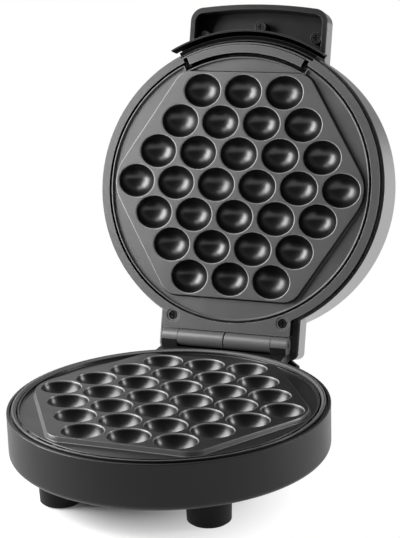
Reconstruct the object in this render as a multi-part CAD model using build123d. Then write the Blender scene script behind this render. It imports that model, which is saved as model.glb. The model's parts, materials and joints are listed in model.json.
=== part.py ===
"""Bubble waffle maker: two hinged cast plates with egg-shaped cups, in a drum base and a metal-capped lid.

Millimetres, +Z up. The pieces are modelled about the axis of the round base, with the lid closed.
The lid is then opened about its hinge, and everything is moved so that the middle of the open
appliance's outline is at X = Y = 0 and the foot pads stand on Z = 0.
"""
import math
import os

from build123d import *

# Cups: egg-shaped hollows in rows, the same in both plates
cups_in_rows = (3, 4, 5, 6, 5, 4, 3)
cup_pitch = 31.0
row_pitch = 22.5
cup_gap = 3.0
row_nesting = 2.0
cup_centre_rise = 1.0
cup_wall = 2.6

# Cooking plate: a raised six-sided land inside a shallow moat with a fine rim bead
plate_margin = 7.2
plate_web = 3.5
moat_depth = 3.2
land_end_margin = 13.9
land_corner_spread = 17.0
land_middle_margin = 21.1
land_corner_round = 14.0
land_draft = 0.6
land_edge_round = 0.8
moat_least_width = 3.7
rim_bead_width = 1.2
rim_bead_drop = 1.2
plate_post_radius = 4.5
plate_post_circle = 44.0
post_count = 4

# Step in the front of the lid's plate, and the raised band of the frame that stands in it
step_angle = 56.0
step_depth = 4.7
step_side_angle = 0.9
band_angle = 52.0
band_gap = 1.6
band_width = 5.7
band_proud = 1.2
pocket_margin = 0.7
channel_edge = 1.0
pocket_depth = 2.5

# Heater, clamps and reflector behind each plate
element_circle = 62.0
element_radius = 3.25
element_gap_angle = 40.0
cold_end_length = 8.8
terminal_radius = 1.2
terminal_length = 2.8
clamp_count = 3
clamp_strip = 0.8
clamp_width = 8.0
clamp_foot = 5.0
clamp_play = 0.25
bead_radius = 4.6
bead_height = 2.4
pan_sheet = 0.8
pan_floor_gap = 2.0
pan_slope_width = 10.8
pan_flange_width = 3.2
pan_centre_hole = 12.0

# Plastic rings that carry the plates
ring_wall = 2.5
plate_fit = 0.3
seat_width = 2.7
land_proud = 0.8

# Base drum
drum_wall = 2.7
drum_rim_wall = 1.9
drum_rim_depth = 3.0
room_below = 6.65
drum_floor = 2.7
drum_bottom_round = 4.2
drum_top_round = 0.6
trim_width = 3.2
trim_proud = 1.2
trim_slope_width = 2.0
trim_slope_depth = 1.4
trim_gap = 1.4
trim_lip = 1.1
trim_lip_height = 1.2
trim_skirt = 0.8
post_wall = 2.6
vent_length = 26.0
vent_width = 3.0
vent_pitch = 8.0
vents_in_group = 4
vent_group_y = 22.0

# Feet
foot_height = 18.9
foot_radius = 13.8
foot_draft = 0.6
foot_wall = 2.6
front_foot_x = 49.7
front_foot_inset = 42.1
rear_foot_x = 40.0
rear_foot_setback = 13.9
spigot_radius = 6.0
spigot_length = 5.5
pad_height = 2.6
pad_proud = 1.2
pad_edge = 1.4

# Hinge. A setback is measured forwards from the hinge's axis
hinge_reach = 4.9
hinge_rise = 3.1
knuckle_radius = 5.9
hinge_half_width = 47.0
outer_knuckle_length = 12.0
knuckle_gap = 0.35
middle_gap = 1.0
pin_radius = 2.0
pin_inset = 0.5
running_clearance = 0.05
open_angle = 106.5
stop_clearance = 0.35
tower_flare = 9.0
tower_corner = 6.0
tower_wall = 2.7
tower_setback = 31.9
room_setback = 26.9
shelf_clearance = 1.5

# Cord inlet in the back of the hinge tower
inlet_bore = 3.7
inlet_body = 6.0
inlet_collar = 8.5
inlet_collar_width = 2.0
inlet_length = 12.0
inlet_height = 10.5

# Lid cap, its neck over the hinge, and the frame inside it
closing_gap = 2.2
lid_depth = 46.0
shell_wall = 1.2
shell_round = 4.5
shell_play = 0.8
frame_width = 6.0
shadow_gap = 1.2
shadow_groove = 1.4
frame_step = 3.6
neck_side_room = 6.0
block_overhang = 0.5
neck_end = 10.0
neck_depth = 27.0
neck_floor = 2.0
neck_corner = 5.0
neck_clearance = 0.6
web_front = 3.5
web_overlap = 1.0
block_clearance = 0.5

# Handle
tongue_half_width = 52.5
tongue_length = 27.5
tongue_arch = 4.0
tongue_corner = 10.0
tongue_low = 25.0
tongue_drop = 4.0
tongue_round = 4.0
grip_lip = 2.0
grip_wall = 2.4
grip_ceiling = 2.2
boss_radius = 4.2
boss_height = 9.0
side_boss_x = 43.0
side_boss_reach = 4.5
middle_boss_reach = 12.0
apron_depth = 5.0
apron_half_angle = 31.0
apron_lug_angle = 29.0
apron_rim = 1.3
apron_recess = 3.6
apron_shelf = 1.8
apron_wall = 1.0

# Screws
screw_radius = 2.0
screw_head = 3.8
screw_head_height = 2.4
screw_slot_share = 0.33
screw_cross_share = 1.33
screw_clearance = 0.25
small_head = 3.2
hinge_screw_inset = 5.5
hinge_screw_setback = 15.6
hinge_screw_sink = 1.4
hinge_pad_radius = 5.0
hinge_pad_depth = 0.5
bracket_sheet = 1.6
bracket_setback = 23.9

# Lamps, thermostat, fuse and terminals
lens_radius = 3.0
lens_collar = 3.9
lens_collar_height = 1.0
lens_stem = 3.2
lens_x = 9.0
lens_y = -70.0
lamp_block_length = 34.0
lamp_block_width = 12.0
lamp_block_height = 5.0
thermostat_radius = 8.5
thermostat_height = 10.5
tab_length = 8.0
tab_width = 4.0
tab_thickness = 0.8
fuse_radius = 2.0
fuse_length = 14.0
fuse_x = 28.0
fuse_end = 2.4
terminal_length_x = 30.0
terminal_length_y = 11.0
terminal_height = 10.0
terminal_setback = 14.4
terminal_screw = 1.8
terminal_ways = 3
snug = 0.15

# Cups, land and plate that follow from the sizes above
cup_half_length = (cup_pitch - cup_gap) / 2
cup_half_width = (row_pitch + row_nesting) / 2
end_cup_x = (cups_in_rows[0] - 1) / 2 * cup_pitch
end_cup_y = (len(cups_in_rows) - 1) / 2 * row_pitch
middle_cup_x = (max(cups_in_rows) - 1) / 2 * cup_pitch
cup_circle = max(middle_cup_x, math.hypot(end_cup_x, end_cup_y))
plate_radius = cup_circle + cup_half_length + plate_margin
step_radius = plate_radius - step_depth
land_circle = plate_radius - rim_bead_width - moat_least_width

# Levels and radii that follow. Behind a plate, levels count from its land
cup_depth = cup_half_width - cup_centre_rise
slab_back = cup_depth + cup_wall
plate_back = moat_depth + plate_web
seat_back = plate_back + ring_wall
ring_bore = plate_radius + plate_fit
seat_bore = ring_bore - seat_width - plate_fit
pan_wall = seat_bore + plate_fit
element_level = slab_back + element_radius + running_clearance
pan_floor = slab_back + 2 * element_radius + pan_floor_gap
pan_back = pan_floor + pan_sheet
pan_floor_radius = pan_wall - pan_slope_width
screw_bore = screw_radius + screw_clearance
head_bore = screw_head + screw_clearance
pin_bore = pin_radius + running_clearance
small_head_bore = small_head + screw_clearance
hinge_screw_seat = land_proud + hinge_screw_sink + screw_head_height
spigot_bore = spigot_radius + snug
lens_bore = lens_radius + snug

inner_floor = foot_height + drum_floor
plate_top = inner_floor + room_below + pan_back
drum_top = plate_top - trim_proud - land_proud
trim_radius = ring_bore + trim_width
rim_bore = trim_radius + trim_gap
drum_radius = rim_bore + drum_rim_wall
drum_bore = drum_radius - drum_wall
ledge_level = drum_top - drum_rim_depth
front_foot_y = front_foot_inset - drum_radius

frame_radius = ring_bore + frame_width
shell_bore = frame_radius + shell_play
lid_radius = shell_bore + shell_wall
band_bore = step_radius + band_gap
band_radius = band_bore + band_width
hinge_y = lid_radius + hinge_reach
tower_front_y = hinge_y - tower_setback
room_front_y = hinge_y - room_setback
rear_foot_y = hinge_y - rear_foot_setback
terminal_y = hinge_y - terminal_setback
hinge_screw_y = hinge_y - hinge_screw_setback
bracket_front_y = hinge_y - bracket_setback
knuckle_split = hinge_half_width - outer_knuckle_length
hinge_screw_x = hinge_half_width - hinge_screw_inset
block_half_width = hinge_half_width + block_overhang
neck_half_width = hinge_half_width + neck_side_room
hinge_z = plate_top + hinge_rise
lid_face = plate_top + closing_gap
neck_face = hinge_rise + knuckle_radius + neck_clearance - closing_gap
flange_back = neck_face - shadow_gap
frame_back = neck_face + frame_step
shell_ceiling = lid_depth - shell_wall
neck_bore = neck_half_width - shell_wall
frame_in_neck = neck_bore - plate_fit
neck_back_y = hinge_y + neck_end
knuckle_front_y = hinge_y - knuckle_radius
block_edge_y = knuckle_front_y - block_clearance
tongue_reach = lid_radius + tongue_length
side_boss_y = -lid_radius - side_boss_reach
middle_boss_y = -lid_radius - middle_boss_reach
boss_places = ((-side_boss_x, side_boss_y), (0.0, middle_boss_y), (side_boss_x, side_boss_y))
apron_bore = lid_radius + plate_fit
apron_radius = apron_bore + apron_depth
tongue_top = lid_depth - tongue_drop
grip_top = tongue_top - shell_wall - snug

# Where the end of the neck comes to rest behind the tower when the lid is open
open_turn = math.radians(open_angle)
neck_rise = lid_face + neck_face - hinge_z
tower_back_y = hinge_y + math.cos(open_turn) * neck_end + math.sin(open_turn) * neck_rise - stop_clearance
tower_foot = hinge_half_width + tower_flare
shelf_level = hinge_z - knuckle_radius - shelf_clearance
inlet_z = foot_height + inlet_height


def upright(radius, low, high, x=0.0, y=0.0):
    """Cylinder along Z from one level to another."""
    return Pos(x, y, (low + high) / 2) * Cylinder(radius, high - low)


def crosswise(radius, low, high, y, z):
    """Cylinder along X from one side to another."""
    return Pos((low + high) / 2, y, z) * Rot(0, 90, 0) * Cylinder(radius, high - low)


def lengthwise(radius, front, back, x, z):
    """Cylinder along Y from front to back."""
    return Pos(x, (front + back) / 2, z) * Rot(90, 0, 0) * Cylinder(radius, back - front)


def block(x_range, y_range, z_range):
    """Box between two values on each axis."""
    ranges = (x_range, y_range, z_range)
    middle = [(low + high) / 2 for low, high in ranges]
    spans = [high - low for low, high in ranges]
    return Pos(*middle) * Box(*spans)


def spun(points, angle=360.0, start=0.0):
    """Spin a closed outline of (radius, level) points about Z, from a start angle."""
    outline = Plane.XZ * make_face(Polyline(*points, close=True))
    return revolve(Rot(0, 0, start) * outline, axis=Axis.Z, revolution_arc=angle)


def on_circle(radius, count, start):
    """Places spaced evenly on a circle, as (x, y)."""
    turns = [math.radians(start + 360.0 * index / count) for index in range(count)]
    return [(radius * math.cos(turn), radius * math.sin(turn)) for turn in turns]


def cup_centres():
    """Centre of every cup, row by row from the front."""
    middle_row = (len(cups_in_rows) - 1) / 2
    places = []
    for row, count in enumerate(cups_in_rows):
        row_y = (row - middle_row) * row_pitch
        for column in range(count):
            places.append(((column - (count - 1) / 2) * cup_pitch, row_y))
    return places


def land_outline():
    """Six-sided outline round the cups, with its two side corners rounded off until they clear the rim."""
    end_x = end_cup_x + land_corner_spread
    end_y = end_cup_y + land_end_margin
    middle_x = middle_cup_x + land_middle_margin
    front = [(-end_x, -end_y), (end_x, -end_y), (middle_x, 0)]
    back = [(end_x, end_y), (-end_x, end_y), (-middle_x, 0)]
    outline = make_face(Polyline(*front, *back, close=True))
    half_corner = math.atan2(end_y, middle_x - end_x)
    side_round = (middle_x - land_circle) / (1 / math.sin(half_corner) - 1)
    outline = fillet(outline.vertices().group_by(Axis.X)[0], side_round)
    outline = fillet(outline.vertices().group_by(Axis.X)[-1], side_round)
    for row in (0, -1):
        outline = fillet(outline.vertices().group_by(Axis.Y)[row], land_corner_round)
    return outline


def cup_solid():
    """One cup as a solid: half an ellipse spun about its long axis."""
    arc = EllipticalCenterArc((0, 0), cup_half_length, cup_half_width, start_angle=0, arc_size=180)
    return revolve(make_face(arc + Line(arc @ 1, arc @ 0)), axis=Axis.X)


def post_places():
    """Places of the screw posts behind a plate."""
    return on_circle(plate_post_circle, post_count, 180.0 / post_count)


def element_ends():
    """Places where the heater's two ends turn away from the plate."""
    half_gap = math.radians(element_gap_angle / 2)
    x = element_circle * math.sin(half_gap)
    y = element_circle * math.cos(half_gap)
    return [(x, y), (-x, y)]


def plate_disc(radius, angle=360.0, start=0.0):
    """Flat disc behind the land with a bead round its rim, or a sector of it."""
    bead_bore = radius - rim_bead_width
    section = [(0, -plate_back), (radius, -plate_back), (radius, -rim_bead_drop),
               (bead_bore, -rim_bead_drop), (bead_bore, -moat_depth), (0, -moat_depth)]
    return spun(section, angle, start)


def stepped_disc():
    """Disc of the lid's plate, set back at the front, with the bead also along both sides of the step."""
    start = -90 - step_angle / 2
    end = start + step_angle
    disc = plate_disc(plate_radius, 360 - step_angle, end) + plate_disc(step_radius, step_angle, start)
    side = [(step_radius - rim_bead_width, -moat_depth), (plate_radius, -moat_depth),
            (plate_radius, -rim_bead_drop), (step_radius - rim_bead_width, -rim_bead_drop)]
    return disc + [spun(side, step_side_angle, turn) for turn in (start - step_side_angle, end)]


def cooking_plate(disc):
    """Cast plate with its land at Z = 0, its cups open upwards and screw posts on its back."""
    outline = land_outline()
    land_foot = Pos(0, 0, -moat_depth) * offset(outline, amount=land_draft)
    land = loft([land_foot, outline], ruled=True)
    land = fillet(land.faces().sort_by(Axis.Z)[-1].edges(), land_edge_round)
    slab = Pos(0, 0, -slab_back) * extrude(outline, slab_back - moat_depth)
    plate = disc + slab + land
    for x, y in post_places():
        plate += upright(plate_post_radius, -pan_floor, -slab_back, x, y)
    cup = cup_solid()
    plate -= [Pos(x, y, cup_centre_rise) * cup for x, y in cup_centres()]
    for x, y in post_places():
        plate -= upright(screw_radius + running_clearance, -pan_floor, -slab_back, x, y)
    return plate


def heating_element():
    """Tubular heater ring behind a plate, with both ends turned away from it."""
    half_gap = element_gap_angle / 2
    section = Plane.XZ * Pos(element_circle, -element_level) * Circle(element_radius)
    section = Rot(0, 0, 90 + half_gap) * section
    heater = revolve(section, axis=Axis.Z, revolution_arc=360 - element_gap_angle)
    end_level = -element_level - cold_end_length
    for x, y in element_ends():
        heater += Pos(x, y, -element_level) * Sphere(element_radius)
        heater += upright(element_radius, end_level, -element_level, x, y)
        heater += upright(terminal_radius, end_level - terminal_length, end_level, x, y)
    return heater


def element_clamps():
    """Bent strips that hold the heater ring against the back of the plate."""
    bore = element_radius + clamp_play
    outer = bore + clamp_strip
    arch = Circle(outer) - Circle(bore)
    arch -= Pos(0, outer) * Rectangle(2 * outer, 2 * outer)
    leg = element_level - slab_back
    for side in (-1, 1):
        leg_x = side * (bore + clamp_strip / 2)
        foot_x = side * (bore + clamp_foot / 2)
        arch += Pos(leg_x, leg / 2) * Rectangle(clamp_strip, leg)
        arch += Pos(foot_x, leg - clamp_strip / 2) * Rectangle(clamp_foot, clamp_strip)
    clamp = extrude(Plane.XZ * arch, clamp_width / 2, both=True)
    turns = [360.0 * index / clamp_count - 90 for index in range(clamp_count)]
    return [Rot(0, 0, turn) * Pos(element_circle, 0, -element_level) * clamp for turn in turns]


def element_beads():
    """Ceramic collars where the heater's ends pass through the reflector."""
    low = -pan_back - bead_height
    bore = element_radius + running_clearance
    return [upright(bead_radius, low, -pan_back, x, y) - upright(bore, low, -pan_back, x, y)
            for x, y in element_ends()]


def heat_reflector():
    """Pressed dish behind a plate and its heater, with its flange on the back of the ring."""
    bend = slab_back + pan_sheet
    flange_edge = pan_wall + pan_flange_width
    pan = spun([(pan_centre_hole, -pan_floor), (pan_floor_radius, -pan_floor), (pan_wall, -bend),
                (pan_wall, -seat_back), (flange_edge, -seat_back), (flange_edge, -seat_back - pan_sheet),
                (pan_wall + pan_sheet, -seat_back - pan_sheet), (pan_wall + pan_sheet, -bend - pan_sheet),
                (pan_floor_radius + pan_sheet, -pan_back), (pan_centre_hole, -pan_back)])
    for x, y in post_places():
        pan -= upright(screw_bore, -pan_back, -pan_floor, x, y)
    for x, y in element_ends():
        pan -= upright(element_radius + screw_clearance, -pan_back, -pan_floor, x, y)
    return pan


def screw(length, head, head_height=screw_head_height):
    """Cross-head screw that points up, with the underside of its head at Z = 0."""
    slot = screw_slot_share * head
    cross = screw_cross_share * head
    depth = head_height / 2
    body = upright(screw_radius, 0, length) + upright(head, -head_height, 0)
    for long_side, short_side in ((cross, slot), (slot, cross)):
        body -= Pos(0, 0, -head_height + depth / 2) * Box(long_side, short_side, depth)
    return body


def thermostat():
    """Snap-disc thermostat on the middle of a plate's back, with two tabs."""
    low = -slab_back - thermostat_height
    body = upright(thermostat_radius, low, -slab_back)
    tab = Box(tab_thickness, tab_width, tab_length)
    return body + [Pos(side * tab_length / 2, 0, low - tab_length / 2) * tab for side in (-1, 1)]


def thermal_fuse():
    """Thermal cut-out lying on the back of the reflector, between two end cuffs."""
    middle = -pan_back - fuse_end
    fuse = crosswise(fuse_radius, fuse_x - fuse_length / 2, fuse_x + fuse_length / 2, 0, middle)
    for side in (-1, 1):
        inner = fuse_x + side * fuse_length / 2
        low, high = sorted((inner, inner - side * fuse_end))
        fuse += crosswise(fuse_end, low, high, 0, middle)
    return fuse


def hinge_tower():
    """Block behind the drum that carries the hinge, with a hollow flare at both sides."""
    reach = tower_flare * math.sqrt(0.5)
    flare_low = drum_top - tower_flare
    flare = ThreePointArc((tower_foot, flare_low), (tower_foot - reach, drum_top - reach),
                          (hinge_half_width, drum_top))
    right = [Line((tower_foot, foot_height), (tower_foot, flare_low)), flare,
             Line((hinge_half_width, drum_top), (hinge_half_width, hinge_z))]
    left = [mirror(edge, Plane.YZ) for edge in right]
    across = [Line((-tower_foot, foot_height), (tower_foot, foot_height)),
              Line((-hinge_half_width, hinge_z), (hinge_half_width, hinge_z))]
    front_view = make_face(Curve() + right + left + across)
    tower = Pos(0, tower_back_y, 0) * extrude(Plane.XZ * front_view, tower_back_y - tower_front_y)
    back_edges = tower.edges().filter_by(Axis.Z).group_by(Axis.Y)[-1]
    tower = fillet(back_edges.filter_by(lambda edge: abs(edge.center().X) > hinge_half_width), tower_corner)
    tower -= block((-tower_foot, tower_foot), (tower_front_y, knuckle_front_y), (drum_top, hinge_z))
    between = (-knuckle_split - knuckle_gap, knuckle_split + knuckle_gap)
    return tower - block(between, (knuckle_front_y - knuckle_gap, tower_back_y), (shelf_level, hinge_z))


def drum():
    """Outside of the round base as a filled solid, with its lower and upper edges rounded."""
    section = make_face(Polyline((0, foot_height), (drum_radius, foot_height), (drum_radius, drum_top),
                                 (0, drum_top), close=True))
    rim = section.vertices().group_by(Axis.X)[-1].sort_by(Axis.Y)
    section = fillet(rim[0], drum_bottom_round)
    rim = section.vertices().group_by(Axis.X)[-1].sort_by(Axis.Y)
    section = fillet(rim[-1], drum_top_round)
    return revolve(Plane.XZ * section, axis=Axis.Z)


def base_housing():
    """Drum and hinge tower as one hollow moulding, with posts, sockets, vents and knuckles."""
    housing = drum() + hinge_tower()
    housing -= upright(drum_bore, inner_floor, ledge_level) + upright(rim_bore, ledge_level, drum_top)
    inside = tower_foot - tower_wall
    tower_ceiling = shelf_level - tower_wall
    room_back_y = tower_back_y - tower_wall
    housing -= block((-inside, inside), (room_front_y, room_back_y), (inner_floor, tower_ceiling))
    for side in (-1, 1):
        low, high = sorted((side * (knuckle_split + knuckle_gap), side * hinge_half_width))
        housing += crosswise(knuckle_radius, low, high, hinge_y, hinge_z)
    housing -= crosswise(pin_bore, -hinge_half_width, hinge_half_width, hinge_y, hinge_z)
    for x, y in post_places():
        housing += upright(screw_head + post_wall, foot_height, plate_top - pan_back, x, y)
        housing -= upright(screw_bore, foot_height, plate_top - pan_back, x, y)
        housing -= upright(head_bore, foot_height, inner_floor, x, y)
    housing -= [upright(spigot_bore, foot_height, inner_floor, x, y) for x, y in foot_places().values()]
    vent = extrude(SlotOverall(vent_length, vent_width, rotation=90), drum_floor)
    middle = (vents_in_group - 1) / 2
    columns = [(index - middle) * vent_pitch for index in range(vents_in_group)]
    housing -= [Pos(x, side * vent_group_y, foot_height) * vent for x in columns for side in (-1, 1)]
    return housing - lengthwise(inlet_body + snug, tower_back_y - tower_wall, tower_back_y, 0, inlet_z)


def foot_places():
    """Name and centre of each foot."""
    rows = {"front": (front_foot_x, front_foot_y), "rear": (rear_foot_x, rear_foot_y)}
    sides = {"left": -1, "right": 1}
    return {f"{row}_{side}": (sign * x, y) for row, (x, y) in rows.items() for side, sign in sides.items()}


def foot(x, y):
    """Hollow tapered post with a spigot that plugs into the floor of the drum."""
    top = foot_radius + foot_draft
    pad_bore = foot_radius - pad_edge
    bore = pad_bore - foot_wall
    ceiling = foot_height - foot_wall
    return Pos(x, y, 0) * spun([
        (0, foot_height + spigot_length), (spigot_radius, foot_height + spigot_length),
        (spigot_radius, foot_height), (top, foot_height), (foot_radius, pad_proud), (pad_bore, pad_proud),
        (pad_bore, pad_height), (bore, pad_height), (bore, ceiling), (0, ceiling)])


def foot_pad(x, y):
    """Rubber pad held in the end of a foot."""
    return upright(foot_radius - pad_edge - snug, 0, pad_height, x, y)


def base_trim_ring():
    """Ring between the drum and the plate, with a seat for each."""
    lip = trim_radius + trim_lip
    skirt = trim_radius - trim_skirt
    ledge = ledge_level - plate_top
    lip_top = ledge + trim_lip_height
    slope_foot = -land_proud - trim_slope_depth
    crest = ring_bore + trim_slope_width
    return spun([(seat_bore, -seat_back), (seat_bore, -plate_back), (ring_bore, -plate_back),
                 (ring_bore, slope_foot), (crest, -land_proud), (trim_radius, -land_proud),
                 (trim_radius, lip_top), (lip, lip_top), (lip, ledge), (skirt, ledge), (skirt, -seat_back)])


def cord_inlet_bush():
    """Collared bush in the back of the tower, for the supply cord."""
    collar = lengthwise(inlet_collar, tower_back_y, tower_back_y + inlet_collar_width, 0, inlet_z)
    body_front = tower_back_y + inlet_collar_width - inlet_length
    body = lengthwise(inlet_body, body_front, tower_back_y, 0, inlet_z)
    return collar + body - lengthwise(inlet_bore, body_front, tower_back_y + inlet_collar_width, 0, inlet_z)


def terminal_block():
    """Block on the floor where the cord's wires are joined, with a screw well for each way."""
    top = inner_floor + terminal_height
    body = Pos(0, terminal_y, inner_floor + terminal_height / 2)
    body = body * Box(terminal_length_x, terminal_length_y, terminal_height)
    pitch = terminal_length_x / terminal_ways
    ways = [(index - (terminal_ways - 1) / 2) * pitch for index in range(terminal_ways)]
    return body - [upright(terminal_screw, top - terminal_height / 2, top, x, terminal_y) for x in ways]


def base_screws():
    """Long screws from the floor of the drum through the reflector into the plate's posts."""
    head_seat = inner_floor
    reach = plate_top - slab_back - snug - head_seat
    return [Pos(x, y, head_seat) * screw(reach, screw_head) for x, y in post_places()]


def lid_plate_screws():
    """Screws that hold the lid's plate and reflector together, seen from the plate's back."""
    reach = pan_back - slab_back - snug
    return [Pos(x, y, -pan_back) * screw(reach, screw_head) for x, y in post_places()]


def hinge_pin():
    """Steel pin through all the knuckles."""
    end = hinge_half_width - pin_inset
    return crosswise(pin_radius, -end, end, hinge_y, hinge_z)


def lid_frame():
    """Ring that carries the lid's plate, with the hinge block, inner knuckles and neck floor."""
    groove = frame_radius - shadow_groove
    step = shell_bore - plate_fit
    frame = spun([(seat_bore, seat_back), (seat_bore, plate_back), (ring_bore, plate_back),
                  (ring_bore, land_proud), (frame_radius, land_proud), (frame_radius, flange_back),
                  (groove, flange_back), (groove, neck_face), (step, neck_face), (step, frame_back),
                  (step - ring_wall, frame_back), (step - ring_wall, seat_back)])
    pocket_radius = band_radius + pocket_margin
    pocket_floor = land_proud + pocket_depth
    pocket = [(seat_bore, land_proud), (pocket_radius, land_proud), (pocket_radius, pocket_floor),
              (seat_bore, pocket_floor)]
    frame -= spun(pocket, step_angle, -90 - step_angle / 2)
    band_level = land_proud - band_proud
    band = [(band_bore, band_level), (band_radius, band_level), (band_radius, flange_back),
            (band_bore, flange_back)]
    frame += spun(band, band_angle, -90 - band_angle / 2)
    channel_floor = land_proud + apron_recess
    channel_bore = pocket_radius + channel_edge
    channel = [(channel_bore, land_proud), (frame_radius, land_proud), (frame_radius, channel_floor),
               (channel_bore, channel_floor)]
    frame -= spun(channel, 2 * apron_lug_angle, -90 - apron_lug_angle)
    floor_top = neck_face + neck_floor
    floor_end = neck_back_y - shell_wall - plate_fit
    block_sides = (-block_half_width, block_half_width)
    hinge_block = block(block_sides, (tower_front_y, block_edge_y), (land_proud, floor_top))
    floor = block((-frame_in_neck, frame_in_neck), (tower_front_y, floor_end), (neck_face, floor_top))
    floor_corners = floor.edges().filter_by(Axis.Z).group_by(Axis.Y)[-1]
    hinge_block += fillet(floor_corners, neck_corner - shell_wall - plate_fit)
    frame += hinge_block - upright(step - ring_wall, 0, floor_top)
    knuckle_level = hinge_z - lid_face
    for side in (-1, 1):
        low, high = sorted((side * middle_gap / 2, side * knuckle_split))
        frame += crosswise(knuckle_radius, low, high, hinge_y, knuckle_level)
        frame += block((low, high), (block_edge_y - web_overlap, hinge_y), (web_front, neck_face))
        frame += upright(head_bore, neck_face, frame_back, side * hinge_screw_x, hinge_screw_y)
    frame -= crosswise(pin_bore, -knuckle_split, knuckle_split, hinge_y, knuckle_level)
    for x in (-hinge_screw_x, hinge_screw_x):
        frame -= upright(screw_bore, land_proud, frame_back, x, hinge_screw_y)
        frame -= upright(small_head_bore, land_proud, hinge_screw_seat, x, hinge_screw_y)
        frame -= upright(hinge_pad_radius, land_proud, land_proud + hinge_pad_depth, x, hinge_screw_y)
    return frame


def hinge_bracket():
    """Steel plate in the neck that the hinge screws pull the frame against."""
    bracket = block((-frame_in_neck, frame_in_neck), (bracket_front_y, neck_back_y - neck_corner),
                    (frame_back, frame_back + bracket_sheet))
    bracket -= upright(shell_bore - plate_fit - ring_wall, frame_back, frame_back + bracket_sheet)
    return bracket - [upright(screw_bore, frame_back, frame_back + bracket_sheet, x, hinge_screw_y)
                      for x in (-hinge_screw_x, hinge_screw_x)]


def hinge_screws():
    """The two screws beside the hinge, with their heads on the cooking side."""
    fastener = screw(frame_back + 2 * bracket_sheet - hinge_screw_seat, small_head)
    return [Pos(x, hinge_screw_y, hinge_screw_seat) * fastener for x in (-hinge_screw_x, hinge_screw_x)]


def tongue_outline(inset):
    """Plan of the handle: straight sides, round corners and a gently arched front."""
    side = tongue_half_width - inset
    reach = tongue_reach - inset
    arch_end = -reach + tongue_arch
    arch = ThreePointArc((side, arch_end), (0, -reach), (-side, arch_end))
    outline = [Line((-side, 0), (side, 0)), Line((side, 0), (side, arch_end)), arch,
               Line((-side, arch_end), (-side, 0))]
    face = make_face(Curve() + outline)
    corners = face.vertices().sort_by(Axis.Y).group_by(Axis.Y)[0]
    return fillet(corners, tongue_corner - inset)


def shell_body(inset, low):
    """The round cap and the neck as filled solids, made smaller all round by an inset."""
    top = lid_depth - inset
    round_off = shell_round - inset
    cap = fillet(upright(lid_radius - inset, low, top).edges().group_by(Axis.Z)[-1], round_off)
    side = neck_half_width - inset
    neck = block((-side, side), (0, neck_back_y - inset), (low, neck_depth - inset))
    neck = fillet(neck.edges().filter_by(Axis.Z).group_by(Axis.Y)[-1], neck_corner - inset)
    neck = fillet(neck.faces().sort_by(Axis.Z)[-1].edges(), round_off)
    return cap, neck


def tongue(inset, low, top):
    """The handle cover as a filled solid, with its upper edge rounded."""
    body = Pos(0, 0, low) * extrude(tongue_outline(inset), top - low)
    return fillet(body.faces().sort_by(Axis.Z)[-1].edges(), tongue_round - inset)


def lid_shell():
    """Pressed metal cover: round cap, neck over the hinge and cover of the handle."""
    cap, neck = shell_body(0, neck_face)
    cap_room, neck_room = shell_body(shell_wall, neck_face)
    tongue_room = tongue(shell_wall, tongue_low, tongue_top - shell_wall)
    tongue_room -= upright(lid_radius, 0, lid_depth)
    shell = cap + neck + tongue(0, tongue_low, tongue_top)
    shell = shell - (cap_room + neck_room) - tongue_room
    return shell - [upright(lens_bore, shell_ceiling, lid_depth, x, lens_y) for x in (-lens_x, lens_x)]


def handle_grip():
    """Scooped lining of the handle, with a lip round the cover's edge and three screw bosses."""
    lip_level = tongue_low - grip_lip
    outer = shell_wall + snug
    body = Pos(0, 0, tongue_low) * extrude(tongue_outline(outer), grip_top - tongue_low)
    body = fillet(body.faces().sort_by(Axis.Z)[-1].edges(), tongue_round - shell_wall)
    body += Pos(0, 0, lip_level) * extrude(tongue_outline(0), grip_lip)
    scoop = extrude(tongue_outline(outer + grip_wall), grip_top - grip_ceiling - lip_level)
    scoop = Pos(0, 0, lip_level) * scoop - upright(apron_bore + grip_wall, 0, lid_depth)
    body = body - upright(apron_bore, 0, lid_depth) - scoop
    boss_low = grip_top - grip_ceiling - boss_height
    for x, y in boss_places:
        body += upright(boss_radius, boss_low, grip_top - grip_ceiling, x, y)
        body -= upright(screw_bore, boss_low, grip_top, x, y)
        body -= upright(small_head_bore, boss_low, boss_low + screw_head_height, x, y)
    return body


def handle_screws():
    """Screws in the bosses of the handle lining."""
    seat = grip_top - grip_ceiling - boss_height + screw_head_height
    return [Pos(x, y, seat) * screw(grip_top - seat, small_head) for x, y in boss_places]


def handle_apron():
    """Curved bar below the handle: a deep channel behind a thin rim that is longer than the bar."""
    lip_level = tongue_low - grip_lip
    shelf = land_proud + apron_recess
    inner = frame_radius + plate_fit
    channel_in = apron_bore + apron_wall
    channel_out = apron_radius - apron_rim
    channel_floor = lip_level - apron_wall
    section = [(inner, shelf), (channel_in, shelf), (channel_in, channel_floor),
               (channel_out, channel_floor), (channel_out, land_proud), (apron_radius, land_proud),
               (apron_radius, lip_level), (apron_bore, lip_level), (apron_bore, shelf + apron_shelf),
               (inner, shelf + apron_shelf)]
    bar = spun(section, 2 * apron_lug_angle, -90 - apron_lug_angle)
    rim = [(channel_out, land_proud), (apron_radius, land_proud), (apron_radius, lip_level / 2),
           (channel_out, lip_level / 2)]
    return bar + spun(rim, 2 * apron_half_angle, -90 - apron_half_angle)


def lens(x):
    """Indicator lens with a collar on the outside of the lid."""
    stem = upright(lens_radius, shell_ceiling - lens_stem, lid_depth, x, lens_y)
    return stem + upright(lens_collar, lid_depth, lid_depth + lens_collar_height, x, lens_y)


def lamp_block():
    """Holder of the two indicator lamps, under the top of the lid."""
    half = lamp_block_length / 2
    body = block((-half, half), (lens_y - lamp_block_width / 2, lens_y + lamp_block_width / 2),
                 (shell_ceiling - lamp_block_height, shell_ceiling))
    stem_end = shell_ceiling - lens_stem
    return body - [upright(lens_bore, stem_end, shell_ceiling, x, lens_y) for x in (-lens_x, lens_x)]


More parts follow.
